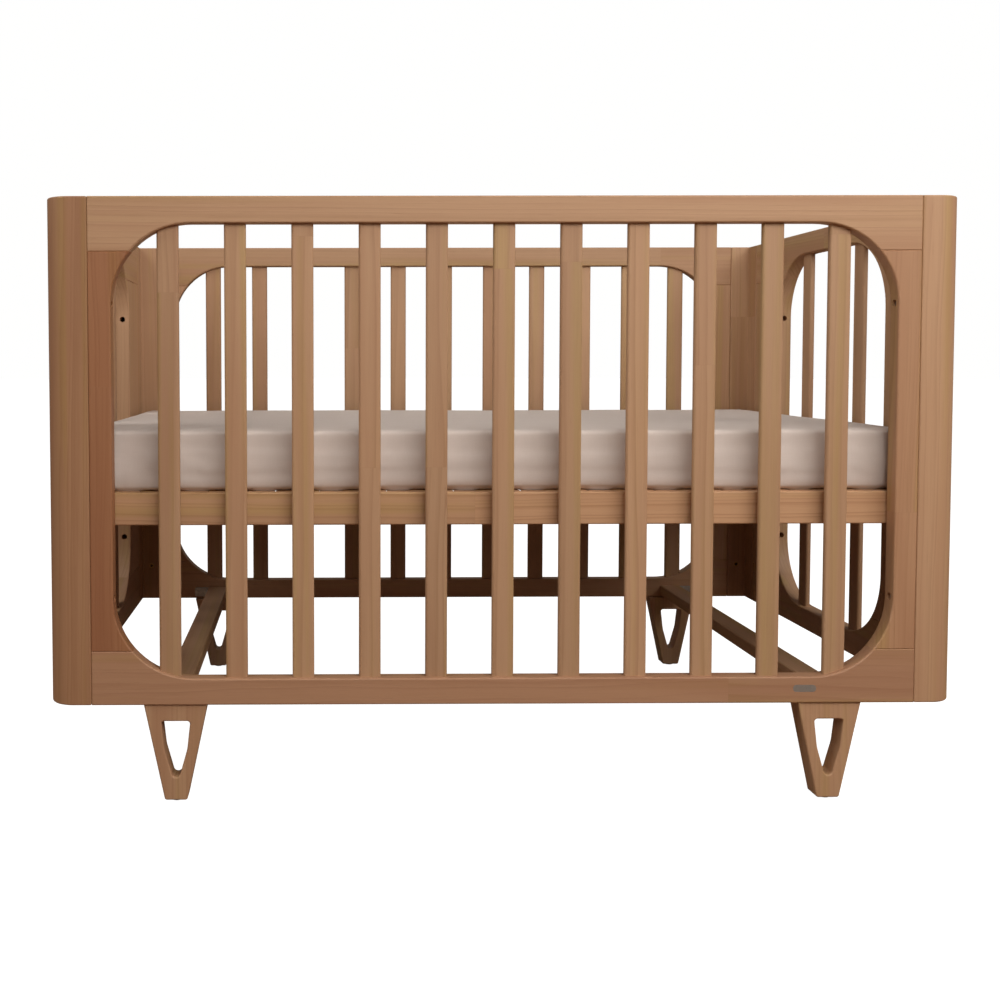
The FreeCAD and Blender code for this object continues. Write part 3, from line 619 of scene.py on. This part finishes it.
def ridge(a, b, start, end, width):
    """1 along a straight fold between two places on a side of the mattress, fading over its width."""
    run = np.array(end) - np.array(start)
    length = np.linalg.norm(run)
    along = np.clip(((a - start[0]) * run[0] + (b - start[1]) * run[1]) / length ** 2, 0, 1)
    off_a = a - (start[0] + along * run[0])
    off_b = b - (start[1] + along * run[1])
    fade = np.sin(np.pi * np.clip(along, 0.02, 0.98)) ** 0.7
    return np.exp(-(off_a ** 2 + off_b ** 2) / width ** 2) * fade


# Soft folds of the sheet on the front side: the start and the end as X and height above the
# underside, then half the width and how far the fold stands out.
FRONT_FOLDS = (
    ((-0.645, 0.050), (-0.560, 0.036), 0.012, 0.0020),
    ((-0.640, 0.026), (-0.540, 0.020), 0.010, 0.0022),
    ((-0.545, 0.046), (-0.500, 0.052), 0.010, 0.0016),
    ((-0.500, 0.052), (-0.430, 0.024), 0.012, 0.0020),
    ((-0.530, 0.030), (-0.450, 0.010), 0.012, 0.0018),
    ((-0.360, 0.016), (-0.290, 0.008), 0.010, 0.0012),
    ((-0.100, 0.012), (0.020, 0.018), 0.012, 0.0010),
    ((0.230, 0.010), (0.330, 0.016), 0.012, 0.0010),
    ((0.395, 0.044), (0.470, 0.030), 0.012, 0.0020),
    ((0.470, 0.030), (0.540, 0.038), 0.012, 0.0020),
    ((0.420, 0.018), (0.520, 0.014), 0.012, 0.0016),
    ((0.585, 0.046), (0.640, 0.030), 0.010, 0.0018),
    ((0.575, 0.020), (0.645, 0.014), 0.010, 0.0016),
)


def sheet_folds(points, normals, low, high):
    """How far the sheet stands out from the foam at each point: folds, gathers and a loose lower edge."""
    height = points[:, 2] - low.z
    front = np.clip(-normals[:, 1], 0, 1) ** 2
    side = np.clip(1 - np.abs(normals[:, 2]), 0, 1)
    out = np.zeros(len(points))
    for start, end, width, stand in FRONT_FOLDS:
        out += front * stand * ridge(points[:, 0], height, start, end, width)
    draw = np.random.default_rng(SEED)
    for axis, sign, a_axis, reach in ((1, 1.0, 0, high.x), (0, -1.0, 1, high.y), (0, 1.0, 1, high.y)):
        facing = np.clip(sign * normals[:, axis], 0, 1) ** 2
        for _ in range(int(reach * 18)):
            middle = draw.uniform(-reach + 0.06, reach - 0.06)
            level = draw.uniform(0.012, 0.055)
            half = draw.uniform(0.02, 0.06)
            tilt = draw.uniform(-0.014, 0.014)
            start = (middle - half, level - tilt)
            end = (middle + half, level + tilt)
            stand = draw.uniform(0.0008, 0.0020)
            out += facing * stand * ridge(points[:, a_axis], height, start, end, 0.011)
    loose = np.exp(-((height - 0.012) / 0.028) ** 2) * side
    ends = np.clip((np.abs(points[:, 0]) - 0.15) / 0.25, 0, 1)
    out += (0.0003 + 0.0015 * ends) * loose * pillow_noise(points * np.array([1, 1, 0.35]), 0.060, 3.1)
    out += 0.0003 * side * pillow_noise(points, 0.035, 8.7)
    near_side = np.clip((np.abs(points[:, 1]) - high.y + 0.022) / 0.010, 0, 1)
    lower_rim = np.exp(-(height / 0.014) ** 2) * near_side
    out -= MIDDLE_RISE * (1 - ends) * lower_rim
    out += 0.0012 * (1 - side) * pillow_noise(points, 0.16, 5.3)
    corner = np.clip((np.abs(points[:, 0]) - high.x + 0.10) / 0.06, 0, 1)
    corner *= np.clip((np.abs(points[:, 1]) - high.y + 0.10) / 0.06, 0, 1)
    gathers = np.sin((np.arctan2(np.abs(points[:, 1]) - high.y + 0.09,
                                 np.abs(points[:, 0]) - high.x + 0.09)) * 26.0)
    out += 0.0011 * corner * side * np.exp(-((height - 0.012) / 0.030) ** 2) * gathers
    return out


def kept_inside(points, low, high):
    """Points held inside the room that the mattress has, its underside flat on the slats."""
    points[:, 0] = np.clip(points[:, 0], low.x + SIDE_SLACK, high.x - SIDE_SLACK)
    points[:, 1] = np.clip(points[:, 1], low.y + SIDE_SLACK, high.y - SIDE_SLACK)
    points[:, 2] = np.clip(points[:, 2], low.z + UNDERSIDE_LIFT, high.z + TOP_ROOM)
    return points


def hung_between_slats(points, low, high):
    """The underside let down a little between the slats that it lies on."""
    off_gap_middle = np.abs((points[:, 0] / BASE_SLAT_PITCH) % 1.0 - 0.5) * BASE_SLAT_PITCH
    into_gap = np.clip(((BASE_SLAT_PITCH - SLAT_WIDTH) / 2 - off_gap_middle) / 0.006, 0, 1)
    from_side = high.y - 0.014 - np.abs(points[:, 1])
    near_side = np.clip(from_side / 0.006, 0, 1) * np.clip((0.046 - from_side) / 0.015, 0, 1)
    from_end = np.clip((high.x - 0.020 - np.abs(points[:, 0])) / 0.020, 0, 1)
    flat = np.clip((low.z + 0.010 - points[:, 2]) / 0.008, 0, 1)
    points[:, 2] -= SLAT_SAG * np.sqrt(into_gap) * near_side * from_end * flat
    return points


def tucked_sheet(mesh, low, high):
    """The sheet without the part of the underside that it doesn't reach."""
    builder = bmesh.new()
    builder.from_mesh(mesh)
    edge_x = high.x - TUCK
    edge_y = high.y - TUCK
    deck = low.z + 0.012
    for place, facing in (((edge_x, 0, 0), (1, 0, 0)), ((-edge_x, 0, 0), (-1, 0, 0)),
                          ((0, edge_y, 0), (0, 1, 0)), ((0, -edge_y, 0), (0, -1, 0))):
        under = [face for face in builder.faces if face.calc_center_median().z < deck]
        parts = under + list({edge for face in under for edge in face.edges})
        parts += list({vert for face in under for vert in face.verts})
        bmesh.ops.bisect_plane(builder, geom=parts, plane_co=place, plane_no=facing)
    open_part = []
    for face in builder.faces:
        centre = face.calc_center_median()
        if centre.z < deck and abs(centre.x) < edge_x and abs(centre.y) < edge_y:
            open_part.append(face)
    bmesh.ops.delete(builder, geom=open_part, context="FACES")
    made = bpy.data.meshes.new("fitted_sheet")
    builder.to_mesh(made)
    builder.free()
    return made


def ring_line(half_x, half_y, radius, step):
    """Points round a rectangle with round corners, about step apart, and the outward direction at each."""
    line = []
    for quarter, (sign_x, sign_y) in enumerate(((1, 1), (-1, 1), (-1, -1), (1, -1))):
        centre = Vector((sign_x * (half_x - radius), sign_y * (half_y - radius)))
        for turn in range(7):
            angle = math.radians(90 * quarter + 15 * turn)
            out = Vector((math.cos(angle), math.sin(angle)))
            line.append((centre + out * radius, out))
    spaced = []
    for (here, out), (there, out_next) in zip(line, line[1:] + line[:1]):
        parts = max(1, round((there - here).length / step))
        for part in range(parts):
            share = part / parts
            spaced.append((here.lerp(there, share), out.lerp(out_next, share).normalized()))
    return spaced


def hem_mesh(low, high):
    """Elastic hem round the tucked edge of the sheet, gathered in small waves."""
    builder = bmesh.new()
    rows = []
    line = ring_line(high.x - TUCK + HEM_WIDTH / 2, high.y - TUCK + HEM_WIDTH / 2, HEM_CORNER, 0.004)
    for index, (place, out) in enumerate(line):
        gather = 0.0012 * math.sin(index * 1.9)
        lift = 0.0003 * (1 + math.sin(index * 0.95))
        base = low.z + 0.0003 + lift
        row = []
        for across, up in ((-0.5, 0.3), (-0.3, 0.0), (0.3, 0.0), (0.5, 0.3), (0.5, 0.7), (0.3, 1.0),
                           (-0.3, 1.0), (-0.5, 0.7)):
            spot = place + out * (across * HEM_WIDTH + gather)
            row.append(builder.verts.new((spot.x, spot.y, base + up * HEM_THICKNESS)))
        rows.append(row)
    for row, following in zip(rows, rows[1:] + rows[:1]):
        for index in range(len(row)):
            after = (index + 1) % len(row)
            builder.faces.new((row[index], following[index], following[after], row[after]))
    bmesh.ops.recalc_face_normals(builder, faces=builder.faces)
    mesh = bpy.data.meshes.new("sheet_hem")
    builder.to_mesh(mesh)
    builder.free()
    return mesh


def tube_mesh(name, line, radius):
    """Closed round cord along a line of points."""
    builder = bmesh.new()
    sides = 8
    rows = []
    for index, place in enumerate(line):
        ahead = line[min(index + 1, len(line) - 1)] - line[max(index - 1, 0)]
        turn = ahead.to_track_quat("Z", "Y")
        row = []
        for side in range(sides):
            angle = 2 * math.pi * side / sides
            row.append(builder.verts.new(place + turn @ Vector((math.cos(angle), math.sin(angle), 0)) * radius))
        rows.append(row)
    for row, following in zip(rows, rows[1:]):
        for side in range(sides):
            after = (side + 1) % sides
            builder.faces.new((row[side], row[after], following[after], following[side]))
    builder.faces.new(list(reversed(rows[0])))
    builder.faces.new(rows[-1])
    bmesh.ops.recalc_face_normals(builder, faces=builder.faces)
    mesh = bpy.data.meshes.new(name)
    builder.to_mesh(mesh)
    builder.free()
    return mesh


def corner_seam_line(mesh_tree, low, high, sign_x, sign_y):
    """Line down a corner of the sheet, found by looking at the mattress from outside."""
    corner = Vector((sign_x * (high.x - 0.045), sign_y * (high.y - 0.045), 0))
    out = Vector((sign_x, sign_y, 0)).normalized()
    line = []
    for step in range(41):
        angle = math.radians(78 - 156 * step / 40)
        look = out * math.cos(angle) + Vector((0, 0, math.sin(angle)))
        middle = Vector((corner.x, corner.y, (low.z + high.z) / 2))
        target = middle + out * 0.010
        hit, _, _, _ = mesh_tree.ray_cast(target + look * 0.3, -look)
        if hit is not None:
            line.append(hit + look * 0.0002)
    return line


def make_mattress():
    """Foam mattress under a fitted sheet, in place of the plain CAD block."""
    low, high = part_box("mattress")
    block = foam_block(low, high)
    mesh = remeshed(block, VOXEL)
    swollen(mesh)

    foam = mesh.copy()
    foam_points = hung_between_slats(kept_inside(points_of(foam), low, high), low, high)
    set_points(foam, foam_points - normals_of(foam) * SHEET_TO_FOAM)
    ticking = cloth("mattress_ticking", (0.74, 0.72, 0.68), (0.60, 0.58, 0.54), 0.0012, 0.1)
    pad = new_piece("mattress_pad", foam, "mattress", ticking)
    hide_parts("mattress")

    stand = sheet_folds(points_of(mesh), normals_of(mesh), low, high)
    outer = points_of(mesh) + normals_of(mesh) * stand[:, None]
    set_points(mesh, hung_between_slats(kept_inside(outer, low, high), low, high))
    tree_builder = bmesh.new()
    tree_builder.from_mesh(mesh)
    tree = BVHTree.FromBMesh(tree_builder)
    tree_builder.free()
    cotton = cloth("sheet_cotton", (0.710, 0.620, 0.565), (0.640, 0.550, 0.495), 0.0009, 0.05)
    sheet = new_piece("fitted_sheet", tucked_sheet(mesh, low, high), "mattress", cotton)
    round_off = sheet.modifiers.new("round_off", "SUBSURF")
    round_off.levels = 1
    round_off.render_levels = 1
    thicken = sheet.modifiers.new("cloth_thickness", "SOLIDIFY")
    thicken.thickness = SHEET_THICKNESS
    thicken.offset = -1.0
    hem = new_piece("sheet_elastic_hem", hem_mesh(low, high), "mattress", cotton)
    thread = cloth("seam_thread", (0.42, 0.36, 0.32), (0.33, 0.28, 0.24), 0.0006, 0.1)
    for sign_x, width_name in ((-1, "left"), (1, "right")):
        for sign_y, depth_name in ((-1, "front"), (1, "rear")):
            line = corner_seam_line(tree, low, high, sign_x, sign_y)
            name = "%s_%s_corner_seam" % (depth_name, width_name)
            seam = new_piece(name, tube_mesh(name, line, SEAM_RADIUS), "mattress", thread)


# ======== Studio ========
def floor_material():
    """Pale to the camera, and a weak warm reflector to the crib."""
    material, graph, shader = new_material("pale_floor", (0.9, 0.9, 0.9))
    place = graph.node("ShaderNodeTexCoord").outputs["Object"]
    cloud = graph.noise(place, (3.0, 3.0, 3.0), 3.0)
    graph.feed(shader.inputs["Base Color"], graph.mix(cloud, (0.42, 0.418, 0.412), (0.40, 0.398, 0.392)))
    shader.inputs["Roughness"].default_value = 0.9
    shader.inputs["Specular IOR Level"].default_value = 0.1
    dim = graph.node("ShaderNodeBsdfDiffuse", {"Color": (0.27, 0.17, 0.115)})
    seen = graph.node("ShaderNodeLightPath").outputs["Is Camera Ray"]
    glow = graph.node("ShaderNodeEmission", {"Color": (1.0, 0.998, 0.992), "Strength": 1.0})
    lit = graph.node("ShaderNodeAddShader")
    graph.feed(lit.inputs[0], shader.outputs["BSDF"])
    graph.feed(lit.inputs[1], glow.outputs["Emission"])
    choice = graph.node("ShaderNodeMixShader")
    graph.feed(choice.inputs[0], seen)
    graph.feed(choice.inputs[1], dim.outputs["BSDF"])
    graph.feed(choice.inputs[2], lit.outputs["Shader"])
    out = next(node for node in graph.tree.nodes if node.type == "OUTPUT_MATERIAL")
    graph.feed(out.inputs["Surface"], choice.outputs["Shader"])
    return material


def make_floor():
    """Plain floor, part of the stage and not of the crib."""
    builder = bmesh.new()
    bmesh.ops.create_circle(builder, cap_ends=True, segments=96, radius=40.0)
    mesh = bpy.data.meshes.new("studio_floor")
    builder.to_mesh(mesh)
    builder.free()
    floor = bpy.data.objects.new("studio_floor", mesh)
    bpy.context.scene.collection.objects.link(floor)
    mesh.materials.append(floor_material())
    floor.location.z = cad_box[0].z - 0.0005


def area_light(name, place, target, size, power, colour):
    """Rectangular soft light that points at its target and isn't seen itself."""
    light = bpy.data.lights.new(name, "AREA")
    light.shape = "RECTANGLE"
    light.size, light.size_y = size
    light.energy = power
    light.color = colour
    lamp = bpy.data.objects.new(name, light)
    bpy.context.scene.collection.objects.link(lamp)
    lamp.location = place
    lamp.visible_camera = False
    lamp.rotation_euler = (Vector(target) - Vector(place)).to_track_quat("-Z", "Y").to_euler()


def make_lights():
    area_light("key_softbox", (0.95, -2.30, 2.05), (0.15, -0.3, 0.62), (3.2, 1.3), 60.0, (1.0, 0.97, 0.93))
    area_light("side_softbox", (2.6, -1.8, 2.2), (0.5, 0.0, 0.7), (1.2, 1.2), 9.0, (1.0, 0.97, 0.93))
    area_light("left_softbox", (-2.3, -0.9, 2.5), (0.5, 0.1, 0.7), (1.4, 1.4), 31.0, (1.0, 0.97, 0.93))
    area_light("top_softbox", (0.3, 0.1, 2.9), (0.1, 0.0, 0.5), (2.4, 1.4), 8.0, (1.0, 0.98, 0.95))
    world = bpy.data.worlds.new("studio_air")
    bpy.context.scene.world = world
    world.use_nodes = True
    world.node_tree.nodes.clear()
    graph = Graph(world.node_tree)
    seen = graph.node("ShaderNodeLightPath").outputs["Is Camera Ray"]
    soft = graph.node("ShaderNodeBackground", {"Color": (1.0, 0.97, 0.94), "Strength": 0.16})
    wall = graph.node("ShaderNodeBackground", {"Color": (1.0, 1.0, 0.995), "Strength": 1.0})
    choice = graph.node("ShaderNodeMixShader")
    graph.feed(choice.inputs[0], seen)
    graph.feed(choice.inputs[1], soft.outputs[0])
    graph.feed(choice.inputs[2], wall.outputs[0])
    out = graph.node("ShaderNodeOutputWorld")
    graph.feed(out.inputs["Surface"], choice.outputs["Shader"])
    bpy.context.scene.view_settings.view_transform = "Standard"


def make_camera():
    """Level with the upper part of the crib, left of its middle, and shifted to frame all of it."""
    pitch, yaw, roll = math.radians(-2.288), math.radians(0.308), math.radians(-0.115)
    ahead = Vector((math.sin(yaw) * math.cos(pitch), math.cos(yaw) * math.cos(pitch), math.sin(pitch)))
    level = Vector((math.cos(yaw), -math.sin(yaw), 0.0))
    up = level.cross(ahead)
    right = level * math.cos(roll) + up * math.sin(roll)
    up = up * math.cos(roll) - level * math.sin(roll)
    data = bpy.data.cameras.new("front_camera")
    data.lens = 39.13
    data.sensor_width = 36.0
    data.shift_x = 0.1806
    data.shift_y = -0.0954
    camera = bpy.data.objects.new("front_camera", data)
    bpy.context.scene.collection.objects.link(camera)
    turn = Matrix((right, up, -ahead)).transposed()
    camera.matrix_world = Matrix.Translation((-0.286, -2.007, 0.6686)) @ turn.to_4x4()
    bpy.context.scene.camera = camera


make_camera()
make_floor()
make_lights()
paint_timber()
paint_hardware()
make_mattress()
